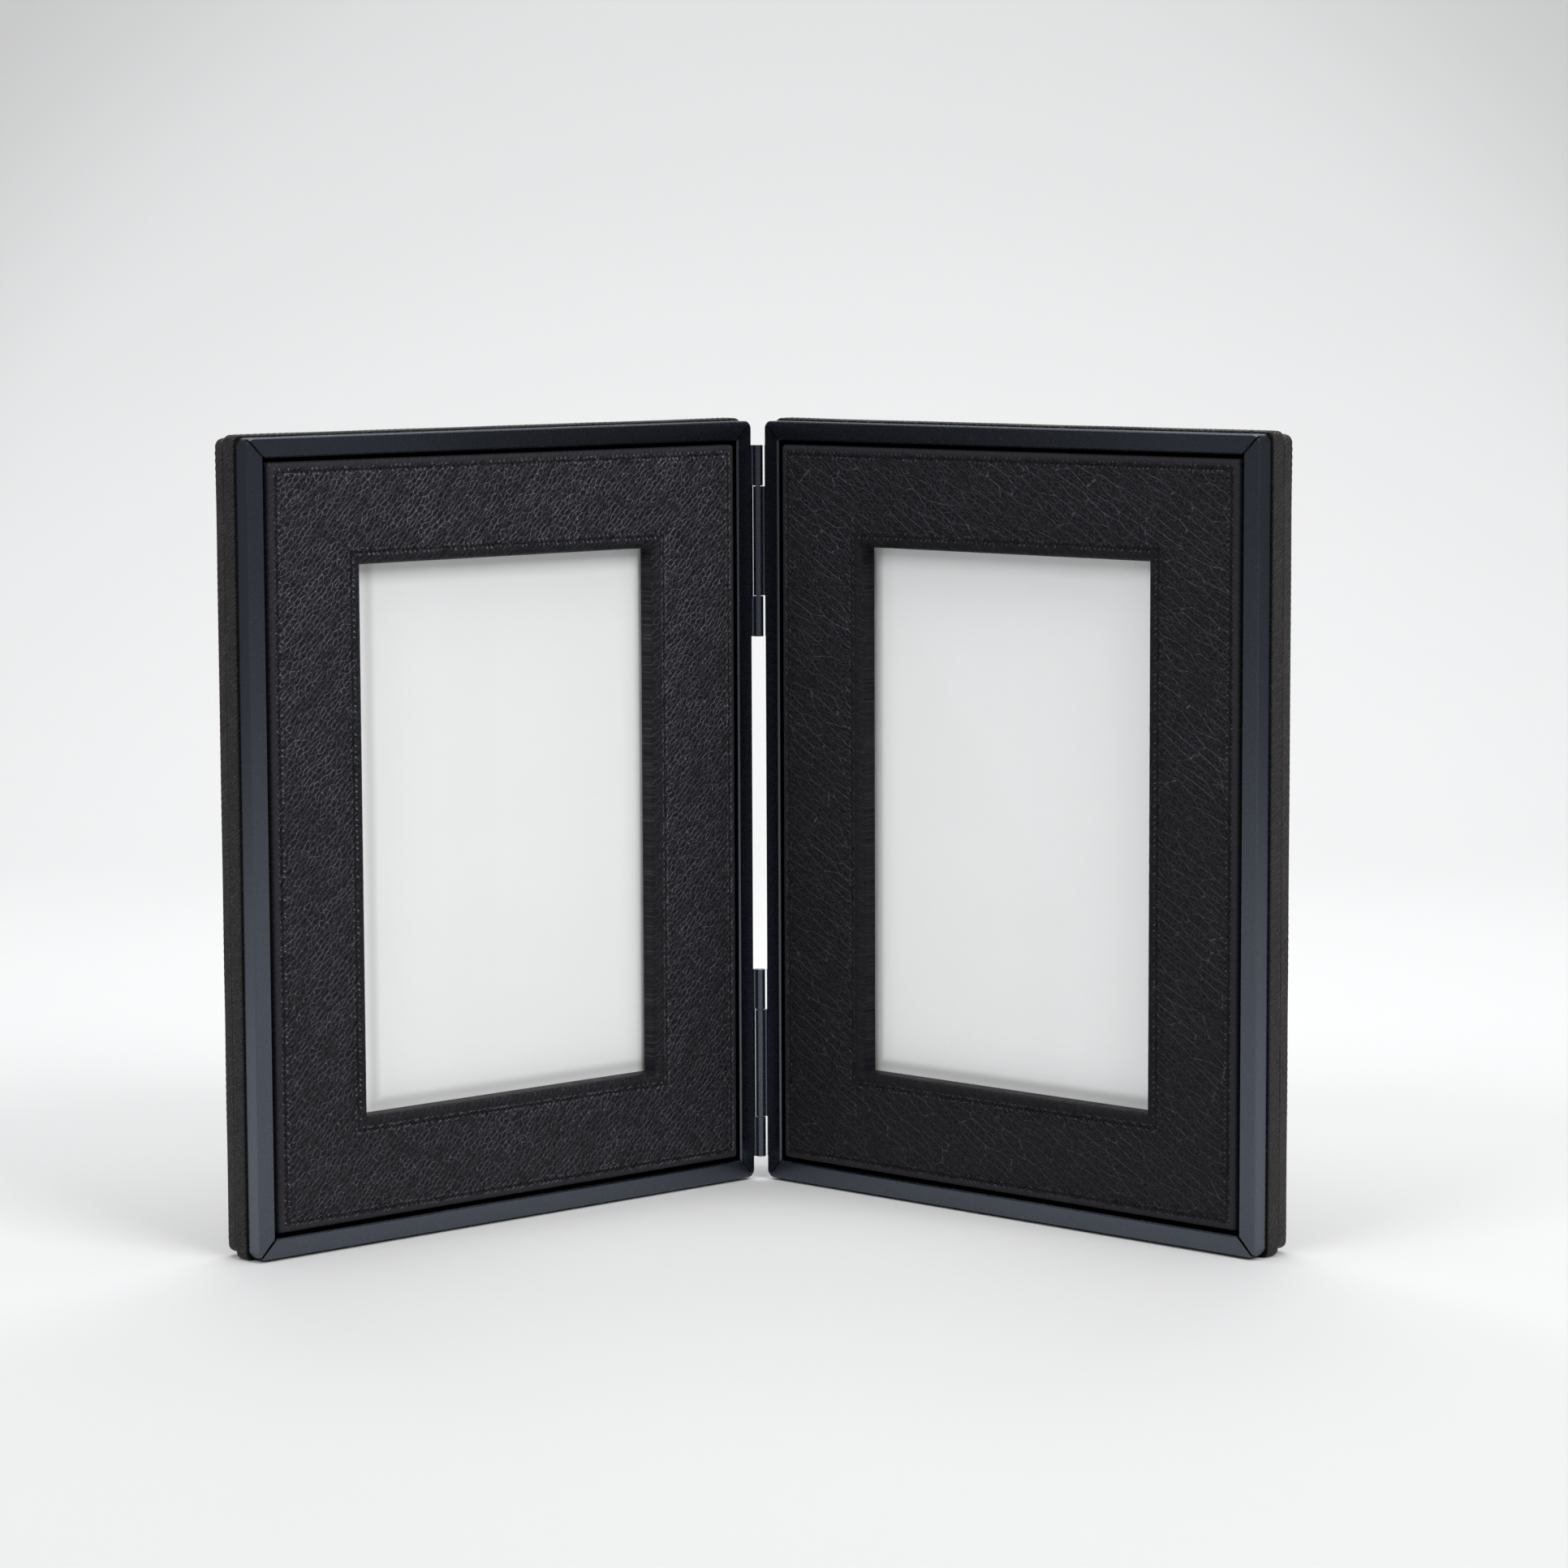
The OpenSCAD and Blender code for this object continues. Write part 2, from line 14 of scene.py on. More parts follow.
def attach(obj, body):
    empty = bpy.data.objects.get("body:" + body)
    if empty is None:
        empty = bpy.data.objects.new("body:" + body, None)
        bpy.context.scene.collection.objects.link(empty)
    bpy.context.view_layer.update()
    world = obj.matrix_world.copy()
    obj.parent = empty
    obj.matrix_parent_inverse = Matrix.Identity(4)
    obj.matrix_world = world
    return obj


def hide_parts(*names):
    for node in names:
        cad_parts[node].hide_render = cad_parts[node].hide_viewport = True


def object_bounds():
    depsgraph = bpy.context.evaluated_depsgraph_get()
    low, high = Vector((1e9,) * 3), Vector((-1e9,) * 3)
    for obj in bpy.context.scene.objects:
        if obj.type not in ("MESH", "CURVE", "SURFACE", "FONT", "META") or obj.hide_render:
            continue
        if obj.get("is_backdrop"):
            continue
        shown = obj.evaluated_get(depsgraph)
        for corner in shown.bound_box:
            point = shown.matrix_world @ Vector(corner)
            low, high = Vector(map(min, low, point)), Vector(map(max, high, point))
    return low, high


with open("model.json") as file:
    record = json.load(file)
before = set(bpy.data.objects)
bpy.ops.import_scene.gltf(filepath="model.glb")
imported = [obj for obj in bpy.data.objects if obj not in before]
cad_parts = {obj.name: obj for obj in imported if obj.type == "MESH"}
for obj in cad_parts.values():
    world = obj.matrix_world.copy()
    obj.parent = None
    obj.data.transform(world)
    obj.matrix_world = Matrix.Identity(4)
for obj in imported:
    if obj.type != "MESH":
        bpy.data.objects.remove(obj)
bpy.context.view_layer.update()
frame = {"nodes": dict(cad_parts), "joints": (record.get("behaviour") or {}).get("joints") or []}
scene = bpy.context.scene
joints = {j["name"]: j for j in frame["joints"]}

MM = 0.001
# Length of one stitch of the mats' seams
STITCH = 1.78


# ---------------------------------------------------------------- leaves

class Leaf:
    """One leaf's own directions: u from the fold axis along the leaf, d backwards, z up."""

    def __init__(self, side):
        self.side = side
        self.body = f"{side}_leaf"
        self.back_body = f"{side}_back"
        self.back = np.array(joints[f"{side}_back_lift"]["axis"], float)
        self.back /= np.linalg.norm(self.back)
        self.sign = 1.0 if side == "right" else -1.0
        self.along = np.array([self.sign * self.back[1], -self.sign * self.back[0], 0.0])
        self.axis = np.array(joints["fold"]["pos_m"], float) * [1, 1, 0]
        # Where the fold axis lies in the materials' coordinates, which start at the frame's origin
        self.axis_u = float(self.axis @ self.along) / MM
        self.axis_d = float(self.axis @ self.back) / MM

    def to_metres(self, points):
        """Points (u, d, z) as places in the frame, in metres."""
        p = np.asarray(points, float) * MM
        return self.axis + p[:, :1] * self.along + p[:, 1:2] * self.back + p[:, 2:] * [0, 0, 1]

    def points(self, node):
        """A CAD node's vertices as (u, d, z)."""
        mesh = frame["nodes"][f"{self.side}_{node}"].data
        co = np.empty(len(mesh.vertices) * 3)
        mesh.vertices.foreach_get("co", co)
        p = co.reshape(-1, 3) - self.axis
        return np.stack([p @ self.along, p @ self.back, p[:, 2]], axis=1) / MM

    def span(self, node):
        p = self.points(node)
        return p.min(axis=0), p.max(axis=0)

    def opening(self, node, depth=None):
        """Lowest and highest u and z of a ring-shaped node's opening, at one depth if given."""
        p = self.points(node)
        if depth is not None:
            p = p[np.abs(p[:, 1] - depth) < 0.05]
        middle = (p.min(axis=0) + p.max(axis=0)) / 2
        u, z = p[:, 0], p[:, 2]
        return (
            np.array([u[u < middle[0]].max(), z[z < middle[2]].max()]),
            np.array([u[u > middle[0]].min(), z[z > middle[2]].min()]),
        )


LEAVES = [Leaf(side) for side in ("left", "right")]


# ---------------------------------------------------------------- node materials

class Graph:
    """A material's nodes. A call returns an output socket, and an input is a value or a socket."""

    def __init__(self, name):
        self.material = bpy.data.materials.new(name)
        self.material.use_nodes = True
        self.tree = self.material.node_tree
        self.tree.nodes.clear()

    def node(self, kind, inputs=(), output=0, **properties):
        """Adds a node and returns one of its outputs."""
        n = self.tree.nodes.new("ShaderNode" + kind)
        for key, value in properties.items():
            setattr(n, key, value)
        for key, value in dict(inputs).items():
            if isinstance(value, bpy.types.NodeSocket):
                self.tree.links.new(value, n.inputs[key])
            else:
                n.inputs[key].default_value = value
        return n.outputs[output]

    def maths(self, operation, *values):
        return self.node("Math", dict(enumerate(values)), operation=operation)

    def vector_maths(self, operation, *values):
        return self.node("VectorMath", dict(enumerate(values)), operation=operation)

    def add(self, a, b):
        return self.maths("ADD", a, b)

    def subtract(self, a, b):
        return self.maths("SUBTRACT", a, b)

    def multiply(self, a, b):
        return self.maths("MULTIPLY", a, b)

    def most(self, a, b):
        return self.maths("MAXIMUM", a, b)

    def least(self, a, b):
        return self.maths("MINIMUM", a, b)

    def absolute(self, a):
        return self.maths("ABSOLUTE", a)

    def times(self, vector, factor):
        return self.node("VectorMath", {0: vector, "Scale": factor}, operation="SCALE")

    def axes(self, vector):
        """The X, Y and Z of a vector."""
        split = self.node("SeparateXYZ", {"Vector": vector}).node
        return [split.outputs[axis] for axis in "XYZ"]

    def turned(self, vector, angle, scale=1.0):
        """A vector turned about Z by an angle in radians, and scaled."""
        inputs = {"Vector": vector, "Rotation": (0, 0, angle), "Scale": (scale,) * 3}
        return self.node("Mapping", inputs)

    def drawn_out(self, plane, slant, share):
        """A plane turned by slant degrees, where a pattern is 1 / share times as long along X."""
        turned = self.turned(plane, math.radians(slant))
        return self.vector_maths("MULTIPLY", turned, (share, 1.0, 1.0))

    def noise(self, vector, scale, detail=2.0, roughness=0.5, output="Fac", dimensions="3D"):
        inputs = {"Vector": vector, "Scale": scale, "Detail": detail, "Roughness": roughness}
        return self.node("TexNoise", inputs, output, noise_dimensions=dimensions)

    def flat_noise(self, vector, scale, detail=2.0, roughness=0.5, output="Fac"):
        return self.noise(vector, scale, detail, roughness, output, "2D")

    def cells(self, vector, spacing, randomness, output="Distance", feature="DISTANCE_TO_EDGE"):
        """A flat pattern of cells about spacing apart."""
        inputs = {"Vector": vector, "Scale": 1 / spacing, "Randomness": randomness}
        return self.node("TexVoronoi", inputs, output, feature=feature, voronoi_dimensions="2D")

    def ramp(self, value, low, high, to_low=0.0, to_high=1.0):
        """A smooth step from to_low, where the value is at low, to to_high, where it is at high."""
        inputs = {
            "Value": value, "From Min": low, "From Max": high, "To Min": to_low, "To Max": to_high,
        }
        return self.node("MapRange", inputs, interpolation_type="SMOOTHSTEP")

    def mix(self, factor, a, b):
        return self.node("Mix", {0: factor, 6: a, 7: b}, 2, data_type="RGBA", blend_type="MIX")

    def bump(self, height, distance, strength=1.0):
        return self.node("Bump", {"Height": height, "Distance": distance, "Strength": strength})

    def surface(self, **inputs):
        """Ends the material in one Principled shader. Underscores in the names stand for spaces."""
        inputs = {name.replace("_", " "): value for name, value in inputs.items()}
        return self.finish(self.node("BsdfPrincipled", inputs))

    def finish(self, shader):
        end = self.tree.nodes.new("ShaderNodeOutputMaterial")
        self.tree.links.new(shader, end.inputs["Surface"])
        return self.material


def grey(value, tint=(1, 1, 1)):
    return (value * tint[0], value * tint[1], value * tint[2], 1.0)


def leaf_millimetres(g, leaf):
    """Object coordinates turned into the leaf's directions, in millimetres."""
    place = g.node("TexCoord", output="Object")
    return g.turned(place, -math.atan2(leaf.along[1], leaf.along[0]), 1 / MM)


def rectangle_inset(g, u, z, leaf, low, high):
    """How far a point lies inside a rectangle in the leaf's u and z, negative outside it."""
    start, end = float(low[0]) + leaf.axis_u, float(high[0]) + leaf.axis_u
    across = g.least(g.subtract(u, start), g.subtract(end, u))
    upright = g.least(g.subtract(z, float(low[1])), g.subtract(float(high[1]), z))
    return g.least(across, upright)


# ---------------------------------------------------------------- leather

# How the grain wanders and ripples off its slant: waves a millimetre, and reach
WANDER, WANDER_REACH = 0.06, 6.0
RIPPLE, RIPPLE_REACH = 0.7, 0.5
# Shares of the wander and the ripple that the light lines follow
CALM_WANDER, CALM_RIPPLE = 0.2, 0.28
# Size of the grain's pebbles, and heights of its streaks and pores beside the pebbles' own 1
PEBBLE = 1.2
STREAK_HEIGHT, PORE_HEIGHT = 1.2, 0.22
# Length shares for drawn_out
PEBBLE_SHARE, STREAK_SHARE, DASH_SHARE, CELL_SHARE, CREASE_SHARE = 0.46, 0.085, 0.45, 0.58, 0.26
# What is left of the grain's depth and of its painted highlights where the leather is drawn tight
TIGHT = 0.30
ROUGHNESS = 0.42
# Tone of the painted shade in the leather's joints
JOINT_SHADE_TONE = 0.0008
# Tone of the leather outside the outer stitch line, lighter than the ground
EDGE_TONE = 0.035


def uneven_shift(g, plane, waves_per_mm, reach):
    """A shift along the plane, of up to half of reach either way."""
    noise = g.flat_noise(plane, waves_per_mm, 1.0, 0.5, "Color")
    return g.times(g.vector_maths("SUBTRACT", noise, (0.5, 0.5, 0.5)), reach)


def cell_sides(g, way, spacing, cross, far_side, randomness=0.85):
    """A net of cells about spacing apart: how far a point is from their sides, as a share of the
    spacing, and how strongly that side shows as a painted highlight. The sides that lie along X are
    the strongest, on one side of a cell more than on the other, as painted light that falls from
    one side, and some cells show more than others."""
    off = g.cells(way, spacing, randomness)
    centre = g.cells(way, spacing, randomness, "Position", "F1")
    outward = g.vector_maths("NORMALIZE", g.vector_maths("SUBTRACT", way, centre))
    side_on = g.axes(outward)[1]
    near, far = g.ramp(side_on, 0.1, 0.8, cross, 1.0), g.ramp(side_on, -0.1, -0.8, cross, far_side)
    chance = g.node("SeparateColor", {"Color": centre.node.outputs["Color"]}, "Red")
    return off, g.multiply(g.most(near, far), g.ramp(chance, 0.0, 1.0, 0.3, 1.0))


def painted_highlight_lines(g, plane, slant, crease, cross, strength):
    """Painted highlights: a net of light rims round the pebbles, and long thin creases that run at
    a slant, meet and part, from 0 to 1."""
    off, shown = cell_sides(g, g.drawn_out(plane, slant, CELL_SHARE), crease, cross, 0.5)
    rims = g.most(g.ramp(off, 0.11, 0.02), g.ramp(off, 0.28, 0.03, 0.0, 0.30))
    net = g.multiply(g.multiply(rims, shown), strength[0])
    spacing = crease * 2.2
    off, shown = cell_sides(g, g.drawn_out(plane, slant - 2, CREASE_SHARE), spacing, 0.0, 0.9)
    thin = g.ramp(off, 0.17 / spacing, 0.04 / spacing)
    return g.most(net, g.multiply(g.multiply(thin, shown), strength[1]))


def puckers(g, inset, u, z):
    """Painted highlights, slanted, on the puckered leather between a stitch line's holes, from 0 to
    1.
    """
    off = g.absolute(inset)
    beside = g.multiply(g.ramp(off, 1.5, 0.9), g.ramp(off, 0.30, 0.55))
    run = g.maths("DIVIDE", g.add(g.add(u, z), g.multiply(inset, 1.3)), STITCH)
    share = g.absolute(g.subtract(g.maths("FRACT", run), 0.5))
    between = g.multiply(beside, g.ramp(share, 0.24, 0.06))
    uneven = g.ramp(g.flat_noise(g.node("CombineXYZ", {"X": u, "Y": z}), 0.5, 1.0), 0.42, 0.62)
    return g.multiply(between, g.multiply(uneven, 0.5))


def leather(name, leaf, colour, light, shine, slant, tint=(1.0, 0.97, 1.16), relief=0.26, dash=0.3,
            crease=2.0, cross=0.3, strength=(0.8, 0.5), flat=True, stitch_lines=None, shaded_grooves=()):
    """Pebbled leather whose grain runs at a slant, in degrees.

    colour is the tone of its ground, and light that of the painted highlights, which stand in for
    the places that catch the light. Of these, dash is the strength of the short dashes, and
    strength that of the pebbles' rims and of the long creases. crease is the size of the rims'
    cells, and cross the strength of the rims across the slant beside those along it.
    A flat leather's grain lies in the leaf's plane, and any other's is folded round its sides too.
    stitch_lines holds the outer and the inner line's rectangle: beyond them the leather is tight.
    shaded_grooves are depths, as (depth, half width), where a painted shade turns the leather into
    a dark joint."""
    g = Graph(name)
    u, d, z = g.axes(leaf_millimetres(g, leaf))
    if flat:
        plane = g.node("CombineXYZ", {"X": u, "Y": z})
    else:
        # No face of the leaf is square to this plane, so the grain is drawn out on none
        plane = g.node("CombineXYZ", {
            "X": g.add(u, z), "Y": g.add(d, g.subtract(u, z)),
        })
    wander = uneven_shift(g, plane, WANDER, WANDER_REACH)
    ripple = uneven_shift(g, plane, RIPPLE, RIPPLE_REACH)

    # The relief: pebbles and streaks along the slant, and fine pores
    warped = g.vector_maths("ADD", g.vector_maths("ADD", plane, wander), ripple)
    pebbles = g.cells(g.drawn_out(warped, slant, PEBBLE_SHARE), PEBBLE, 0.9)
    streaks = g.flat_noise(g.drawn_out(warped, slant, STREAK_SHARE), 1.1, 2.0, 0.55)
    pores = g.flat_noise(warped, 4.0, 2.0, 0.6)
    patches = g.flat_noise(plane, 0.045)
    height = g.maths("MULTIPLY_ADD", streaks, STREAK_HEIGHT, g.ramp(pebbles, 0.0, 0.24))
    height = g.maths("MULTIPLY_ADD", pores, PORE_HEIGHT, height)
    depth = g.ramp(patches, 0.35, 0.7, 0.9, 1.05)
    if stitch_lines is not None:
        outer, inner = (rectangle_inset(g, u, z, leaf, low, high) for low, high in stitch_lines)
        rim = g.ramp(outer, -1.4, 0.6, TIGHT, 1.0)
        lip = g.ramp(inner, -0.6, 1.4, 1.0, TIGHT)
        depth = g.multiply(depth, g.least(rim, lip))
    height = g.multiply(height, depth)

    # Painted highlights where the light would catch: short dashes on the pebbles, and light lines
    # on a calmer grain
    calm = g.vector_maths("ADD", plane, g.times(wander, CALM_WANDER))
    calm = g.vector_maths("ADD", calm, g.times(ripple, CALM_RIPPLE))
    dashes = g.ramp(g.flat_noise(g.drawn_out(calm, slant, DASH_SHARE), 1.9, 2.0, 0.6), 0.48, 0.76)
    lines = painted_highlight_lines(g, calm, slant, crease, cross, strength)
    lines = g.multiply(lines, g.ramp(pores, 0.34, 0.60, 0.35, 1.0))
    painted_highlight = g.most(g.multiply(dashes, dash), lines)
    painted_highlight = g.multiply(painted_highlight, g.ramp(pebbles, 0.0, 0.05, 0.25, 1.0))
    # Painted highlights fainter towards the foot, a painted shade where less light falls from
    # above, as in the photo
    painted_highlight = g.multiply(painted_highlight, g.multiply(depth, g.ramp(z, 20.0, 240.0, 0.68, 1.0)))
    if stitch_lines is not None:
        # Painted highlights on the puckers beside both stitch lines
        pale = g.most(puckers(g, outer, u, z), puckers(g, inner, u, z))
        painted_highlight = g.most(painted_highlight, pale)

    ground = g.mix(g.ramp(pores, 0.35, 0.65), grey(colour * 0.5, tint), grey(colour * 2.1, tint))
    # The painted highlights' tone is laid over the ground
    paint = g.mix(painted_highlight, ground, grey(light, tint))
    if stitch_lines is not None:
        # A lighter tone outside the outer stitch line
        paint = g.mix(g.ramp(outer, -0.5, -1.3, 0.0, 0.5), paint, grey(EDGE_TONE, tint))
    # Painted shade darkens the leather along each groove
    for groove, half in shaded_grooves:
        off = g.absolute(g.subtract(d, leaf.sign * (groove + leaf.axis_d)))
        paint = g.mix(g.ramp(off, half * 0.3, half), grey(JOINT_SHADE_TONE), paint)
    rough = g.ramp(pores, 0.3, 0.7, ROUGHNESS + 0.08, ROUGHNESS - 0.05)
    normal = g.bump(height, relief * MM)
    return g.surface(Base_Color=paint, Roughness=rough, Normal=normal, Specular_IOR_Level=shine)


# ---------------------------------------------------------------- other materials

GUNMETAL, GUNMETAL_ROUGHNESS = (0.092, 0.103, 0.125), 0.26
STEEL = (1, 1.01, 1.04)
# Each card's tone, the left one lower as a painted shade for the stronger light on the left leaf,
# and the middle and half width of its grey bands, from the edges given to paper()
CARD_TONE_AND_SHADE = {"left": 0.90, "right": 0.975}
SIDE_BAND = {"left": (3.1, 3.4), "right": (1.9, 2.9)}
FOOT_BAND = (2.4, 2.8)
BAND_TONE = 0.715


def gunmetal(name, leaf):
    """Dark satin metal, faintly uneven."""
    g = Graph(name)
    place = leaf_millimetres(g, leaf)
    fine = g.noise(place, 2.2, 3.0, 0.6)
    cloud = g.noise(place, 0.03)
    paint = g.mix(cloud, grey(0.92, GUNMETAL), grey(1.0, GUNMETAL))
    rough = g.ramp(fine, 0.3, 0.7, GUNMETAL_ROUGHNESS - 0.02, GUNMETAL_ROUGHNESS + 0.02)
    normal = g.bump(fine, 0.0004 * MM, 0.6)
    return g.surface(Base_Color=paint, Metallic=1.0, Roughness=rough, Normal=normal)


def steel(name):
    g = Graph(name)
    fine = g.noise(g.node("TexCoord", output="Object"), 1800.0, 2.0, 0.6)
    paint = g.mix(fine, grey(0.36, STEEL), grey(0.48, STEEL))
    rough = g.ramp(fine, 0.3, 0.7, 0.24, 0.36)
    return g.surface(Base_Color=paint, Metallic=1.0, Roughness=rough)


def wood(name, leaf):
    """Raw wood with its grain along the leaf's height."""
    g = Graph(name)
    place = leaf_millimetres(g, leaf)
    grain = g.noise(g.vector_maths("MULTIPLY", place, (1.0, 1.0, 0.04)), 0.9, 4.0, 0.6)
    paint = g.mix(grain, (0.42, 0.28, 0.15, 1), (0.60, 0.44, 0.27, 1))
    return g.surface(Base_Color=paint, Roughness=0.65, Normal=g.bump(grain, 0.05 * MM))


def board(name, leaf):
    """Grey fibre board."""
    g = Graph(name)
    place = leaf_millimetres(g, leaf)
    fibres = g.noise(g.vector_maths("MULTIPLY", place, (1.0, 1.0, 0.5)), 2.0, 4.0, 0.7)
    paint = g.mix(fibres, (0.27, 0.25, 0.22, 1), (0.36, 0.34, 0.30, 1))
    return g.surface(Base_Color=paint, Roughness=0.9, Normal=g.bump(fibres, 0.05 * MM))


def foam(name, leaf):
    g = Graph(name)
    bubbles = g.node("TexVoronoi", {"Vector": leaf_millimetres(g, leaf), "Scale": 2.2}, "Distance")
    paint = g.mix(bubbles, grey(0.10), grey(0.16))
    return g.surface(Base_Color=paint, Roughness=0.95, Normal=g.bump(bubbles, 0.15 * MM))


def paper(name, leaf, side_edge, foot_edge):
    """Blank white card with a soft grey band inside two edges of its visible part: at side_edge in
    u, and at foot_edge in z."""
    g = Graph(name)
    place = leaf_millimetres(g, leaf)
    fibres = g.noise(place, 2.5, 3.0, 0.6)
    # The left card's lower tone is a painted shade
    tone = CARD_TONE_AND_SHADE[leaf.side]
    white = g.mix(fibres, grey(tone - 0.015), grey(tone + 0.015))
    u, _, z = g.axes(place)
    if leaf.side == "left":
        from_side = g.subtract(side_edge + leaf.axis_u, u)
    else:
        from_side = g.subtract(u, side_edge + leaf.axis_u)
    from_foot = g.subtract(z, foot_edge)

    def band(off, middle, half):
        return g.multiply(g.ramp(off, middle - half, middle), g.ramp(off, middle + half, middle))

    # Each band starts where the other does, so the two meet in a corner
    middle, half = SIDE_BAND[leaf.side]
    clear_side = g.ramp(from_side, middle - half, middle)
    clear_foot = g.ramp(from_foot, -0.4, 2.2)
    side_band = g.multiply(band(from_side, middle, half), clear_foot)
    foot_band = g.multiply(band(from_foot, *FOOT_BAND), clear_side)
    shade = g.most(side_band, foot_band)
    paint = g.mix(shade, white, grey(BAND_TONE))
    return g.surface(Base_Color=paint, Roughness=0.6, Normal=g.bump(fibres, 0.01 * MM))


def pane(name):
    """Clear anti-reflective glass that lets the lamps' light through to the card."""
    g = Graph(name)
    faint = g.noise(g.node("TexCoord", output="Object"), 12.0, 1.0)
    glass = g.node("BsdfPrincipled", {
        "Base Color": (0.99, 0.995, 0.992, 1), "Roughness": g.ramp(faint, 0.3, 0.7, 0.01, 0.03),
        "Transmission Weight": 1.0, "IOR": 1.15,
    })
    clear = g.node("BsdfTransparent", {"Color": (0.985, 0.99, 0.988, 1)})
    shadow = g.node("LightPath", output="Is Shadow Ray")
    diffuse = g.node("LightPath", output="Is Diffuse Ray")
    either = g.most(shadow, diffuse)
    return g.finish(g.node("MixShader", {0: either, 1: glass, 2: clear}))


def thread(name, leaf):
    """Black twisted thread."""
    g = Graph(name)
    strands = g.noise(leaf_millimetres(g, leaf), 5.0, 1.0)
    paint = g.mix(strands, grey(0.005), grey(0.012))
    normal = g.bump(strands, 0.05 * MM)
    return g.surface(Base_Color=paint, Roughness=0.6, Normal=normal, Specular_IOR_Level=0.15)


# ---------------------------------------------------------------- mesh helpers

def make_mesh(name, points, faces, leaf, material):
    """A smooth mesh object from points (u, d, z), its faces given for the right leaf."""
    if leaf.sign < 0:
        faces = [f[::-1] for f in faces]
    mesh = bpy.data.meshes.new(name)
    mesh.from_pydata(leaf.to_metres(points).tolist(), [], [list(map(int, f)) for f in faces])
    mesh.update()
    mesh.polygons.foreach_set("use_smooth", [True] * len(mesh.polygons))
    mesh.materials.append(material)
    obj = bpy.data.objects.new(name, mesh)
    scene.collection.objects.link(obj)
    return obj


def bell(x, half):
    """1 in the middle, and falling off smoothly on both sides."""
    return np.exp(-((x / half) ** 2))


def waves(x, y, size, seed, count=7):
    """Smooth uneven field of about unit height, from a count of waves of about the given size."""
    random = np.random.default_rng(seed)
    total = np.zeros_like(x, dtype=float)
    for _ in range(count):
        angle = random.uniform(0, 2 * math.pi)
        length = size * random.uniform(0.7, 1.5)
        phase = random.uniform(0, 2 * math.pi)
        bend = random.uniform(0.3, 0.9)
        across = x * math.cos(angle) + y * math.sin(angle)
        beside = -x * math.sin(angle) + y * math.cos(angle)
        bent = bend * np.sin(2 * math.pi * beside / (2.3 * length))
        total += np.sin(2 * math.pi * across / length + bent + phase)
    return total / math.sqrt(count)


def ring_corners(low, high, inset, radius, counts):
    """Points round a rectangle, inset from low and high, with rounded corners: one row of a grid.

    counts gives the points along the lower, far, upper and near sides. Returns points (u, z) and
    the side of each point, as 0 to 3."""
    low, high = low + inset, high - inset
    corners = [low, np.array([high[0], low[1]]), high, np.array([low[0], high[1]])]
    points = []
    for k in range(4):
        t = (np.arange(counts[k]) / counts[k])[:, None]
        points.append(corners[k] + (corners[(k + 1) % 4] - corners[k]) * t)
    points, sides = np.concatenate(points), np.repeat(np.arange(4), counts)
    if radius > 0:
        points = round_corners(points, low, high, radius)
    return points, sides


def round_corners(p, low, high, radius):
    """Moves the points of a rectangle that lie within radius of a corner onto an arc there."""
    p = p.copy()
    middle = (low + high) / 2
    sign = np.where(p < middle, -1.0, 1.0)
    edge = np.where(p < middle, low, high)
    off = np.abs(edge - p)
    near = (off < radius).all(axis=1)
    run = radius + (off[:, 0] - off[:, 1])
    angle = np.clip(run / (2 * radius), 0, 1) * math.pi / 2
    # angle 0 lies on the side where u is at its edge, and a quarter turn on the side where z is
    arc = np.stack([radius * (1 - np.cos(angle)), radius * (1 - np.sin(angle))], axis=1)
    p[near] = (edge - sign * arc)[near]
    return p


def grid_faces(rows, columns, close_rows):
    """Quads of a grid whose columns close round, and whose rows may."""
    faces = []
    for j in range(rows if close_rows else rows - 1):
        a, b = j * columns, ((j + 1) % rows) * columns
        for i in range(columns):
            k = (i + 1) % columns
            faces.append((a + i, a + k, b + k, b + i))
    return faces


# ---------------------------------------------------------------- padded mats

# How far the stitch lines lie inside the mat's outer edge and outside its window
STITCH_OUT, STITCH_IN = 3.0, 4.1
# Radii of the rounded outer edge, of the outer corners, and of the lip that rolls into the window
EDGE_ROUND, CORNER_ROUND, LIP_ROUND = 1.6, 1.2, 2.4
# Where the rows lie near the stitch lines, inside the outer edge and outside the window. The
# crown's rows are between them, and the window's corners start to round at LIP_START.
OUTER_ROWS = (1.85, 2.1, 2.35, 2.55, 2.75, 2.9, 3.1, 3.25, 3.45, 3.65, 3.9)
INNER_ROWS = (5.0, 4.75, 4.55, 4.35, 4.2, 4.0, 3.85, 3.65, 3.45, 3.2, 2.9)
LIP_START = 4.0
# How far the padding rises from the stitch lines' plane to the CAD's front
CROWN = 0.3
# Spacing of the mat's columns midway across its border
COLUMN = 0.32
# How far the stitches lean to either side, and their thread's radius
LEAN = 0.36
THREAD = 0.24
# Depth and half width of the channel that a stitch line draws, and of the shallow trough round it
CHANNEL, CHANNEL_HALF = 0.42, 0.30
TROUGH, TROUGH_HALF = 0.16, 1.0
# The puckers beside a line: height, distance from it, half width, and slant
PUCKER, PUCKER_OFF, PUCKER_HALF, PUCKER_SLANT = 0.20, 0.85, 0.45, 1.2
# The right leaf's leather has its grain at another slant, and fainter painted highlights and less
# shine: a painted shade for the weaker light on that leaf
MAT_LOOK = {
    "left": {
        "slant": 46.0, "crease": 1.6, "cross": 0.14, "strength": (1.0, 0.4), "dash": 0.15,
        "colour": 0.008, "light": 0.27, "shine": 0.08,
    },
    "right": {
        "slant": 33.0, "crease": 1.5, "cross": 0.5, "strength": (0.5, 1.0), "dash": 0.24,
        "colour": 0.008, "light": 0.13, "shine": 0.06,
    },
}


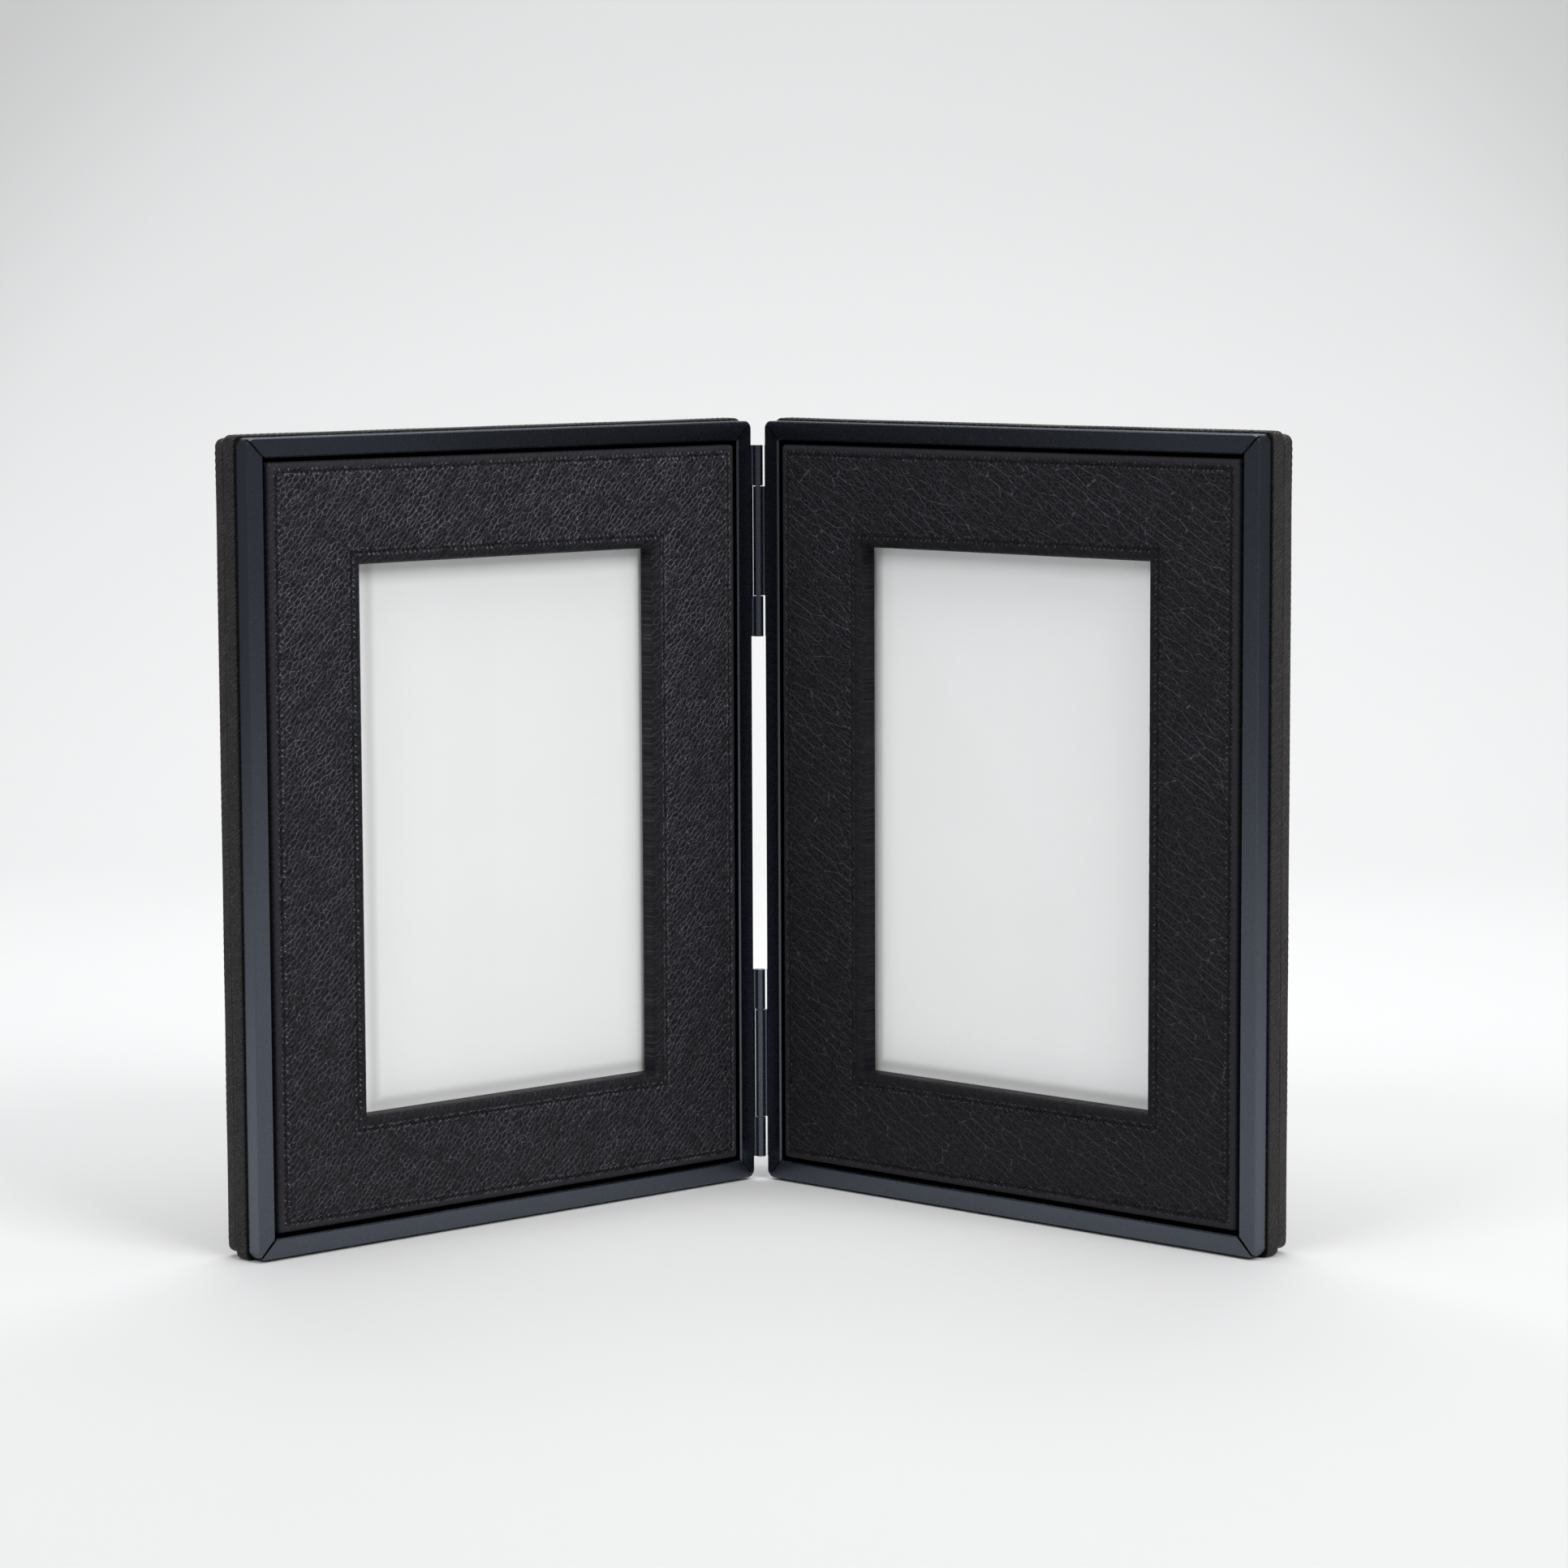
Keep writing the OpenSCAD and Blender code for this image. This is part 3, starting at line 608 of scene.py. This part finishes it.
class Mat:
    """The padded mat of one leaf, as a grid of nested rectangles from outer foot to window."""

    def __init__(self, leaf):
        self.leaf = leaf
        low, high = leaf.span("mat_leather")
        self.low, self.high = low[[0, 2]], high[[0, 2]]
        self.window_low, self.window_high = leaf.opening("mat_leather")
        self.front, self.back = low[1] + CROWN, high[1]
        self.border = self.window_low - self.low
        self.rows = self.profile()

    def profile(self):
        """Rows as (share of the border, offset, depth, corner radius, crown weight)."""
        front, back = self.front, self.back
        rows = []
        for t in np.linspace(0, 1, 4)[:-1]:
            rows.append((0, 0.0, back + (front + EDGE_ROUND - back) * t, CORNER_ROUND, 0.0))
        for a in np.linspace(0, math.pi / 2, 7):
            off, depth = EDGE_ROUND * (1 - math.cos(a)), front + EDGE_ROUND * (1 - math.sin(a))
            rows.append((0, off, depth, max(CORNER_ROUND - off, 0.0), 0.0))
        for x in OUTER_ROWS:
            rows.append((0, x, front, 0.0, 0.0))
        for s in np.linspace(0, 1, 10)[1:]:
            offset = OUTER_ROWS[-1] * (1 - s) - INNER_ROWS[0] * s
            rows.append((s, offset, front, 0.0, math.sin(math.pi * s)))
        for x in INNER_ROWS[1:]:
            radius = LIP_ROUND * (LIP_START - x) / (LIP_START - LIP_ROUND)
            rows.append((1, -x, front, max(0.0, radius), 0.0))
        for a in np.linspace(0, math.pi / 2, 8):
            off = LIP_ROUND * (1 - math.sin(a))
            rows.append((1, -off, front + LIP_ROUND * (1 - math.cos(a)), off, 0.0))
        wall = front + LIP_ROUND
        for t in np.linspace(0, 1, 5)[1:]:
            rows.append((1, 0.0, wall + (back - wall) * t, 0.0, 0.0))
        return rows

    def build(self):
        """The leather, with its crown, stitch channels, puckers and wrinkles."""
        leaf = self.leaf
        width, height = (self.high - self.low) - 2 * self.border.mean()
        counts = [int(width / COLUMN), int(height / COLUMN)] * 2
        columns = sum(counts)
        points, across_out, across_in, along, weights = [], [], [], [], []
        for share, offset, depth, radius, weight in self.rows:
            inset = share * self.border + offset
            p, sides = ring_corners(self.low, self.high, inset, radius, counts)
            level = sides % 2 == 0
            points.append(np.column_stack([p[:, 0], np.full(columns, depth), p[:, 1]]))
            along.append(np.where(level, p[:, 0], p[:, 1]))
            border = np.where(level, self.border[1], self.border[0])
            inset = share * border + offset
            across_out.append(inset - STITCH_OUT)
            across_in.append(inset - (border - STITCH_IN))
            weights.append(np.full(columns, weight))
        points, along, weights = map(np.concatenate, (points, along, weights))
        across_out, across_in = np.concatenate(across_out), np.concatenate(across_in)
        sides = np.tile(sides, len(self.rows))
        u, z = points[:, 0], points[:, 2]
        seed = int(leaf.sign)
        # Towards the viewer is towards smaller d. The crown is uneven, in long and in short waves
        lift = CROWN * weights * (1 + 0.10 * waves(u, z, 60, 3 + seed))
        lift += 0.045 * waves(u, z, 17, 11 + seed) * np.clip(weights * 2, 0, 1)
        lift += self.stitch_relief(across_out, along, sides, "out")
        lift += self.stitch_relief(across_in, along, sides, "in")
        # The leather drawn over the lip is wrinkled across it
        wrinkle = np.clip(waves(along, across_in * 0.25, 2.6, 31 + seed, 9), -1.6, 1.6)
        wrinkle *= np.clip(0.6 + 0.6 * waves(u, z, 28, 41), 0, 1.2)
        lift += 0.055 * bell(across_in - 2.6, 1.1) * wrinkle
        points[:, 1] -= lift
        faces = [f[::-1] for f in grid_faces(len(self.rows), columns, close_rows=True)]
        material = leather(
            f"{leaf.side}_mat_leather_look", leaf, **MAT_LOOK[leaf.side],
            stitch_lines=(self.stitch_line("out"), self.stitch_line("in")),
        )
        return make_mesh(f"{leaf.side}_padded_mat", points, faces, leaf, material)

    def stitch_line(self, name):
        """Low and high corners of a stitch line's rectangle."""
        if name == "out":
            return self.low + STITCH_OUT, self.high - STITCH_OUT
        return self.window_low - STITCH_IN, self.window_high + STITCH_IN

    def stitch_relief(self, across, along, sides, name):
        """Height that a line of stitches adds: a channel, deeper at the holes, a shallow trough
        round it, and slanted puckers beside it."""
        low, high = self.stitch_line(name)
        relief = np.zeros_like(across)
        for k in range(4):
            start, end = low[k % 2], high[k % 2]
            count = round((end - start) / STITCH)
            pitch = (end - start) / count
            on = sides == k
            x, s = across[on], along[on] - start
            # Each stitch leans from one side of the line to the other between its two holes
            share = (s / pitch) % 1.0
            line = x - LEAN * (2 * share - 1)
            near_hole = np.minimum(share, 1 - share)
            deeper = np.clip(0.35 + 1.4 * (0.5 - near_hole), 0, 1)
            channel = CHANNEL * bell(line, CHANNEL_HALF) * deeper + TROUGH * bell(x, TROUGH_HALF)
            # The thread was pulled tighter at some stitches than at others
            pull = np.random.default_rng(71 + k).uniform(0.5, 1.35, count + 2)
            pull = pull[np.clip((s / pitch).astype(int) + 1, 0, count + 1)]
            slanted = np.cos(2 * math.pi * (s + PUCKER_SLANT * x) / pitch)
            pucker = PUCKER * bell(np.abs(x) - PUCKER_OFF, PUCKER_HALF) * slanted
            # Nothing is drawn in beyond the line's two ends
            inside = np.clip((s + 0.9) / 0.6, 0, 1) * np.clip((end - start + 0.9 - s) / 0.6, 0, 1)
            relief[on] -= (channel + pucker) * pull * inside
        return relief

    def stitches(self):
        """Threads of both stitch lines, lying in their channels, as one piece."""
        ring = 6
        stations = np.linspace(-1, 1, 7)
        radius = THREAD * np.sqrt(np.clip(1 - (np.abs(stations) * 0.98) ** 4, 0.05, 1))
        sink = 0.34 * np.abs(stations) ** 3
        angles = np.arange(ring) * 2 * math.pi / ring
        points, faces = [], []
        for name in ("out", "in"):
            low, high = self.stitch_line(name)
            corners = [low, np.array([high[0], low[1]]), high, np.array([low[0], high[1]])]
            for k in range(4):
                start, end = corners[k], corners[(k + 1) % 4]
                length = np.linalg.norm(end - start)
                count = round(length / STITCH)
                pitch = length / count
                way = (end - start) / length
                beside = np.array([-way[1], way[0]])
                for m in range(count):
                    centre = start + way * pitch * (m + 0.5)
                    base = len(points)
                    for t, r, drop in zip(stations, radius, sink):
                        middle = centre + way * t * pitch * 0.46 + beside * t * LEAN
                        for a in angles:
                            q = middle + beside * r * math.cos(a)
                            points.append((q[0], self.front + 0.10 + drop - r * math.sin(a), q[1]))
                    for j in range(len(stations) - 1):
                        row, after = base + j * ring, base + (j + 1) * ring
                        for i in range(ring):
                            n = (i + 1) % ring
                            faces.append((row + i, after + i, after + n, row + n))
                    last = base + (len(stations) - 1) * ring
                    faces.append(tuple(base + i for i in range(ring)))
                    faces.append(tuple(last + i for i in reversed(range(ring))))
        leaf = self.leaf
        material = thread(f"{leaf.side}_thread", leaf)
        return make_mesh(f"{leaf.side}_mat_stitches", points, faces, leaf, material)


for leaf in LEAVES:
    mat = Mat(leaf)
    pad = mat.build()
    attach(pad, leaf.body)
    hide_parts(f"{leaf.side}_mat_leather")
    seam = mat.stitches()
    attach(seam, leaf.body)


# ---------------------------------------------------------------- wrapped block and back panel

# Radius of the wrapped corners, seen from the front
WRAP_CORNER = 2.4
# Thickness of the leather, and radius of its rounded edges
BLOCK_SKIN, BLOCK_ROUND = 0.8, 1.2
BACK_SKIN, BACK_ROUND = 1.0, 1.4
# How far the back panel's leather is turned in over its board's front
TURN_IN = 14.0
WRAP_COLUMN = 0.6
# Half widths of the painted shade in the joint between block and back panel, as painted on each,
# and in the one behind the bars
BLOCK_JOINT_SHADE, BACK_JOINT_SHADE, BAR_JOINT_SHADE = 1.3, 1.7, 0.8


def wrap_grid(leaf, name, low, high, rows, material, folds, cap=None):
    """A wrapped leather skin from rows (inset, depth, corner radius), which close on themselves, or
    on two caps. folds holds the last arguments of pleats."""
    size = high - low
    counts = [int(size[0] / WRAP_COLUMN), int(size[1] / WRAP_COLUMN)] * 2
    columns = sum(counts)
    points = []
    for inset, depth, radius in rows:
        p = ring_corners(low, high, inset, radius, counts)[0]
        points.append(np.column_stack([p[:, 0], np.full(columns, depth), p[:, 1]]))
    faces = grid_faces(len(rows), columns, close_rows=cap is None)
    if cap is not None:
        first, last = cap
        faces.append(tuple(first * columns + i for i in reversed(range(columns))))
        faces.append(tuple(last * columns + i for i in range(columns)))
    points = pleats(np.concatenate(points), low, high, *folds)
    return make_mesh(name, points, [f[::-1] for f in faces], leaf, material)


def edge_rows(radius, depth, start, end):
    """Rows of a rounded edge, its arc centred at the depth, from angle start to end in degrees."""
    rows = []
    for a in np.radians(np.linspace(start, end, 5)):
        off = radius - radius * math.cos(a)
        rows.append((off, depth - radius * math.sin(a), max(WRAP_CORNER - off, 0.0)))
    return rows


def side_rows(front, back, radius):
    """Rows of a wrapped side with its two rounded edges."""
    rows = edge_rows(radius, front + radius, 90, 0)
    for t in (0.1, 0.3, 0.5, 0.7, 0.9):
        rows.append((0.0, front + radius + t * (back - front - 2 * radius), WRAP_CORNER))
    return rows + edge_rows(radius, back - radius, 0, -90)


def pleats(points, low, high, front, amount, seed):
    """Slanted folds that stand out from the leather's sides: stronger near the corners, and none
    underneath."""
    p = points.copy()
    u, d, z = p[:, 0], p[:, 1], p[:, 2]
    plan = np.stack([u, z], axis=1)
    middle = (low + high) / 2
    nearest = np.minimum(plan - low, high - plan)
    on_side = np.clip(1 - nearest.min(axis=1) / 0.7, 0, 1)
    axis = nearest.argmin(axis=1)
    along = np.where(axis == 0, z, u)
    near_corner = bell(np.linalg.norm(nearest, axis=1), 14)
    phase = 2 * math.pi * (along + 1.3 * (d - front)) / 2.3 + 1.6 * waves(u, z, 30, seed)
    uneven = 0.40 * np.clip(waves(u, z, 45, seed + 1), -1, 1)
    strength = amount * (0.35 + 0.8 * near_corner + uneven)
    fold = np.clip(strength, 0, None) * (1 + np.sin(phase)) * on_side
    off_corner = np.clip((nearest.max(axis=1) - 1.0) / 3.0, 0, 1)
    off_foot = np.clip((z - low[1] - 2.5) / 2.0, 0, 1)
    fold *= off_corner * off_foot
    sign = np.where(plan < middle, -1.0, 1.0)
    p[:, 0] += np.where(axis == 0, sign[:, 0] * fold, 0.0)
    p[:, 2] += np.where(axis == 1, sign[:, 1] * fold, 0.0)
    return p


for leaf in LEAVES:
    side = leaf.side
    # Block: a skin open in front where the mat sits, and behind where the picture lies
    low, high = leaf.span("block_leather")
    front, back = low[1], high[1]
    joint = (back + leaf.span("back_leather")[0][1]) / 2
    low, high = low[[0, 2]], high[[0, 2]]
    seat = leaf.opening("block_leather", front)[0][0] - low[0]
    opening = leaf.opening("block_leather", back)[0][0] - low[0]
    skin, corner = BLOCK_SKIN, WRAP_CORNER - BLOCK_SKIN
    rows = [(seat, front, 0.0), (5.0, front, 0.0), (3.0, front, 0.0)]
    rows += side_rows(front, back, BLOCK_ROUND)
    rows += [(3.0, back, 0.0), (12.0, back, 0.0), (opening, back, 0.0)]
    rows += [(opening, back - skin, 0.0), (skin, back - skin, corner), (skin, front + skin, corner)]
    rows += [(seat, front + skin, 0.0)]
    look = leather(
        f"{side}_block_leather_look", leaf, colour=0.018, tint=(1.06, 0.98, 0.99), light=0.11,
        slant=-35.0, relief=0.20, shine=0.10, flat=False,
        shaded_grooves=((joint, BLOCK_JOINT_SHADE), (front, BAR_JOINT_SHADE)),
    )
    block = wrap_grid(leaf, f"{side}_block_wrap", low, high, rows, look, (front, 0.07, 15))
    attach(block, leaf.body)
    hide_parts(f"{side}_block_leather")

    # Back panel: a skin over the whole back, turned in over the board's front
    low, high = leaf.span("back_leather")
    front, back = low[1], high[1]
    low, high = low[[0, 2]], high[[0, 2]]
    skin, corner = BACK_SKIN, WRAP_CORNER - BACK_SKIN
    far = (high - low).min() / 2 - 4
    rows = [(far, back - skin, 0.0), (skin, back - skin, corner), (skin, front + skin, corner)]
    rows += [(TURN_IN, front + skin, 0.0), (TURN_IN, front, 0.0), (5.0, front, 0.0)]
    rows += side_rows(front, back, BACK_ROUND)
    rows += [(5.0, back, 0.0), (25.0, back, 0.0), (60.0, back, 0.0), (far, back, 0.0)]
    look = leather(
        f"{side}_back_leather_look", leaf, colour=0.022, tint=(1.09, 0.98, 0.98), light=0.13,
        slant=-35.0, relief=0.20, shine=0.12, flat=False, shaded_grooves=((joint, BACK_JOINT_SHADE),),
    )
    caps = (0, len(rows) - 1)
    panel = wrap_grid(leaf, f"{side}_back_wrap", low, high, rows, look, (front, 0.11, 5), caps)
    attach(panel, leaf.back_body)
    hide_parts(f"{side}_back_leather")


# ---------------------------------------------------------------- CAD nodes' materials

def dress(node, material):
    obj = frame["nodes"][node]
    obj.data.materials.clear()
    obj.data.materials.append(material)


# How far the card's visible part ends inside the window's edge, or past it
CARD_BEHIND_LIP, CARD_PAST_WALL, CARD_PAST_FOOT = 5.0, 1.3, 0.4

steel_look = steel("steel_look")
glass_look = pane("glass_look")
for leaf in LEAVES:
    side = leaf.side
    metal = gunmetal(f"{side}_gunmetal", leaf)
    for bar in ("top_bar", "bottom_bar", "outer_bar", "hinge_bar"):
        dress(f"{side}_{bar}", metal)
    for hinge in ("upper", "lower"):
        dress(f"{hinge}_hinge_{side}_plate", metal)
    timber, fibre = wood(f"{side}_wood", leaf), board(f"{side}_board", leaf)
    (near, foot), (far, _) = leaf.opening("mat_leather")
    side_edge = far - CARD_BEHIND_LIP if side == "left" else near - CARD_PAST_WALL
    card = paper(f"{side}_card", leaf, float(side_edge), float(foot - CARD_PAST_FOOT))
    for node, look in (
        ("bar_screws", steel_look), ("block_magnets", steel_look), ("back_magnets", steel_look),
        ("hinge_screws", metal), ("block_core", timber), ("back_board", timber),
        ("mat_board", fibre), ("backing_board", fibre), ("mat_foam", foam(f"{side}_foam", leaf)),
        ("card", card), ("glass", glass_look),
    ):
        dress(f"{side}_{node}", look)
for hinge in ("upper", "lower"):
    dress(f"{hinge}_hinge_pin", steel_look)


# ---------------------------------------------------------------- camera

# The photo's camera: image width and focal length in its pixels, place, and angles in degrees
PHOTO = 1932
FOCAL = 5893.4
CAMERA = Vector((17.74, -1525.90, 310.29)) * MM
YAW, PITCH, ROLL = map(math.radians, (0.343, 6.345, 0.234))
SENSOR = 36

camera_data = bpy.data.cameras.new("camera")
camera_data.sensor_width = SENSOR
camera_data.lens = SENSOR * FOCAL / PHOTO
camera_data.clip_start, camera_data.clip_end = 0.01, 50
camera = bpy.data.objects.new("camera", camera_data)
scene.collection.objects.link(camera)
scene.camera = camera
across = Vector((math.cos(YAW), math.sin(YAW), 0))
forward = Vector((
    -math.sin(YAW) * math.cos(PITCH), math.cos(YAW) * math.cos(PITCH), -math.sin(PITCH),
))
upward = across.cross(forward)
right = across * math.cos(ROLL) - upward * math.sin(ROLL)
up = across * math.sin(ROLL) + upward * math.cos(ROLL)
turn = Matrix((right, up, -forward)).transposed().to_4x4()
camera.matrix_world = Matrix.Translation(CAMERA) @ turn


# ---------------------------------------------------------------- floor and light, in metres

# Tones of the floor in front and of the backdrop behind
FLOOR_TONE, BACKDROP_TONE = 0.635, 0.785
# The light from all round, and what the camera sees beyond the floor
SURROUND, SEEN = (0.195, 0.20, 0.212, 1), (0.84, 0.84, 0.84, 1)
# Lamps as name, place, size and watts, all turned to one point of the object
LAMP_TARGET = (0, 0, 0.12)
LAMPS = (
    ("key", (1.1, -1.2, 1.3), (1.0, 1.0), 22),
    ("fill", (-1.1, -1.2, 1.3), (1.0, 1.0), 13),
    ("top", (0.0, -0.1, 1.6), (1.6, 1.2), 13),
    ("back", (0.0, 1.1, 1.5), (1.4, 0.8), 13),
)


def floor_look():
    """Pale floor and backdrop that keep the object's shadow. A painted shade darkens the backdrop
    upwards and to its corners."""
    g = Graph("floor_look")
    place = g.node("TexCoord", output="Object")
    faint = g.noise(place, 6.0, 3.0, 0.6)
    x, y, z = g.axes(place)
    corner = g.maths("SQRT", g.add(g.multiply(x, x), g.multiply(z, z)))
    # Painted shade on the backdrop, upwards and towards the corners
    shade = g.multiply(g.ramp(z, 0.0, 0.5, 1.0, 0.88), g.ramp(corner, 0.48, 0.70, 1.0, 0.84))
    shade = g.multiply(shade, g.ramp(y, -0.5, 0.4, FLOOR_TONE, BACKDROP_TONE))
    dark, pale = (g.multiply(shade, tone) for tone in (0.985, 1.0))
    paint = g.mix(faint, dark, pale)
    return g.surface(Base_Color=paint, Roughness=0.7, Specular_IOR_Level=0.1)


def make_floor():
    """A table top that sweeps up behind the object."""
    half, depth_front, depth_back, rise = 1.3, 1.3, 1.6, 1.8
    radius, steps = 0.7, 24
    profile = [(-depth_front, 0.0), (depth_back - radius, 0.0)]
    for i in range(1, steps + 1):
        a = math.pi / 2 * i / steps
        profile.append((depth_back - radius + radius * math.sin(a), radius * (1 - math.cos(a))))
    profile.append((depth_back, rise))
    points = [(x, y, z) for y, z in profile for x in (-half, half)]
    faces = [(a, a + 1, a + 3, a + 2) for a in range(0, len(points) - 2, 2)]
    mesh = bpy.data.meshes.new("floor")
    mesh.from_pydata(points, [], faces)
    mesh.polygons.foreach_set("use_smooth", [True] * len(mesh.polygons))
    mesh.materials.append(floor_look())
    floor = bpy.data.objects.new("floor", mesh)
    scene.collection.objects.link(floor)
    floor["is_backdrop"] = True


def make_lamp(name, place, size, power):
    data = bpy.data.lights.new(name, "AREA")
    data.shape = "RECTANGLE"
    data.size, data.size_y = size
    data.energy = power
    lamp = bpy.data.objects.new(name, data)
    lamp.location = place
    lamp.rotation_euler = (Vector(LAMP_TARGET) - Vector(place)).to_track_quat("-Z", "Y").to_euler()
    scene.collection.objects.link(lamp)


def make_world():
    world = bpy.data.worlds.new("studio")
    world.use_nodes = True
    scene.world = world
    nodes, links = world.node_tree.nodes, world.node_tree.links
    nodes.clear()
    mixer = nodes.new("ShaderNodeMixShader")
    links.new(nodes.new("ShaderNodeLightPath").outputs["Is Camera Ray"], mixer.inputs[0])
    for slot, colour in ((1, SURROUND), (2, SEEN)):
        background = nodes.new("ShaderNodeBackground")
        background.inputs["Color"].default_value = colour
        links.new(background.outputs[0], mixer.inputs[slot])
    links.new(mixer.outputs[0], nodes.new("ShaderNodeOutputWorld").inputs["Surface"])


make_floor()
for lamp in LAMPS:
    make_lamp(*lamp)
make_world()
scene.view_settings.view_transform = "Standard"

low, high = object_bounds()
